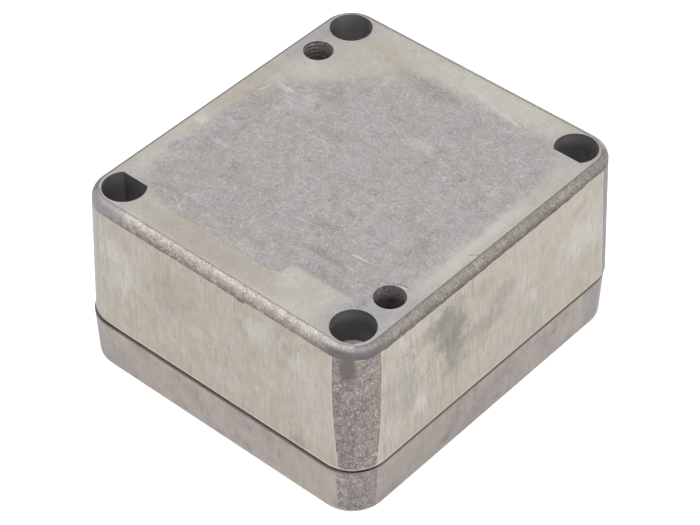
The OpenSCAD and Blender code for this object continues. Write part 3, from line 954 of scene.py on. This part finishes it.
def windThread():
    # one ridge of three sides wound up the core
    size = lidScrew
    bpy.ops.object.select_all(action="DESELECT")
    bpy.ops.mesh.primitive_circle_add(vertices=3, radius=size["ridgeReach"], location=size["ridgePlace"],
                                      rotation=(math.pi / 2, math.pi / 2, 0.0))
    ridge = bpy.context.active_object
    soloPiece(ridge)
    bpy.ops.object.transform_apply(location=True, rotation=True, scale=True)
    wind = ridge.modifiers.new("wind", "SCREW")
    wind.axis, wind.angle, wind.screw_offset = "Z", math.tau, size["pitch"]
    wind.iterations, wind.steps, wind.render_steps = size["turns"], size["turnSteps"], size["turnSteps"]
    bpy.ops.object.modifier_apply(modifier="wind")
    bpy.ops.object.mode_set(mode="EDIT")
    bpy.ops.mesh.select_all(action="SELECT")
    bpy.ops.mesh.fill_holes(sides=3)
    bpy.ops.object.mode_set(mode="OBJECT")
    return ridge


def makeLidScrews():
    first, ridge = turnScrewBody(), windThread()
    soloPiece(first)
    ridge.select_set(True)
    bpy.ops.object.join()
    bpy.ops.object.mode_set(mode="EDIT")
    bpy.ops.mesh.select_all(action="SELECT")
    bpy.ops.mesh.normals_make_consistent(inside=False)
    bpy.ops.object.mode_set(mode="OBJECT")
    bpy.ops.object.shade_smooth_by_angle(angle=lidScrew["smooth"])
    first.data.materials.clear()
    first.data.materials.append(screwSteel)
    for turn, (x, y, angle) in lidScrew["places"].items():
        screw = first.copy()
        screw.data = first.data.copy()
        bpy.context.collection.objects.link(screw)
        screw.name = screw.data.name = "threadedScrew_" + turn
        screw.location, screw.rotation_euler = (x, y, 0.0), (0.0, 0.0, math.radians(angle))
        soloPiece(screw)
        bpy.ops.object.transform_apply(location=True, rotation=True, scale=True)
        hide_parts("lid_screw_" + turn)
        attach(screw, "screw_" + turn)
    bpy.data.objects.remove(first, do_unlink=True)


makeLidScrews()
print("four threaded screws stand in the lid")


studio = {
    "floorHalf": 3.0, "floorColor": (0.9, 0.9, 0.9, 1), "floorLift": 0.35, "worldLight": 0.8,
    "keyPower": 8.0, "keySize": 0.9, "keyPlace": (-0.35, -0.45, 1.2),
    "fillPower": 8.0, "fillSize": 0.9, "fillPlace": (1.0, -0.2, 0.6),
}


def seenClearly():
    # 1 for rays that look straight at a surface, or at it in a mirror or through glass
    path = newNode("LightPath")
    seen = larger(path.outputs["Is Camera Ray"], path.outputs["Is Glossy Ray"])
    return larger(seen, path.outputs["Is Transmission Ray"])


def makeFloor():
    bpy.ops.object.select_all(action="DESELECT")
    bpy.ops.mesh.primitive_plane_add(size=2 * studio["floorHalf"], location=(0, 0, 0))
    floor = bpy.context.object
    floor.name = "floor"
    material, shader = newMaterial("floorWhite")
    shader.inputs["Base Color"].default_value = studio["floorColor"]
    shader.inputs["Roughness"].default_value = 0.9
    shader.inputs["Specular IOR Level"].default_value = 0.0
    shader.inputs["Emission Color"].default_value = (1, 1, 1, 1)
    feed(shader.inputs["Emission Strength"], times(seenClearly(), studio["floorLift"]))
    floor.data.materials.append(material)


def makeWorld():
    world = bpy.data.worlds.new("studio")
    scene.world = world
    world.use_nodes = True
    tree = bench["tree"] = world.node_tree
    tree.nodes.clear()
    out = newNode("OutputWorld")
    light = newNode("Background")
    light.inputs["Color"].default_value = (1, 1, 1, 1)
    extra = times(seenClearly(), 1.0 - studio["worldLight"])
    feed(light.inputs["Strength"], add(extra, studio["worldLight"]))
    tree.links.new(light.outputs[0], out.inputs["Surface"])


def makeLamp(name, power, size, where, target=(0, 0, 0.015)):
    data = bpy.data.lights.new(name, "AREA")
    data.energy = power
    data.size = size
    lamp = bpy.data.objects.new(name, data)
    scene.collection.objects.link(lamp)
    lamp.location = where
    lamp.rotation_euler = (Vector(target) - Vector(where)).to_track_quat("-Z", "Y").to_euler()


cameraView = {
    "focal": 2593.3, "imageWidth": 700, "sensor": 36.0,
    "azimuth": 41.381, "elevation": 42.83, "roll": -0.195,
    "place": (0.197701, -0.224822, 0.291365),
}


def makeCamera():
    data = bpy.data.cameras.new("camera")
    data.sensor_width = cameraView["sensor"]
    data.lens = cameraView["focal"] / cameraView["imageWidth"] * cameraView["sensor"]
    data.clip_start = 0.01
    camera = bpy.data.objects.new("camera", data)
    scene.collection.objects.link(camera)
    az, el, roll = (math.radians(cameraView[k]) for k in ("azimuth", "elevation", "roll"))
    back = Vector((math.sin(az) * math.cos(el), -math.cos(az) * math.cos(el), math.sin(el)))
    across = Vector((math.cos(az), math.sin(az), 0))
    up = back.cross(across)
    right = across * math.cos(roll) + up * math.sin(roll)
    top = up * math.cos(roll) - across * math.sin(roll)
    turn = Matrix((right, top, back)).transposed().to_4x4()
    camera.matrix_world = Matrix.Translation(cameraView["place"]) @ turn
    scene.camera = camera


makeFloor()
makeWorld()
makeLamp("keyLamp", studio["keyPower"], studio["keySize"], studio["keyPlace"])
makeLamp("fillLamp", studio["fillPower"], studio["fillSize"], studio["fillPlace"])
makeCamera()
scene.view_settings.view_transform = "Standard"
print("floor, lamps and camera placed")
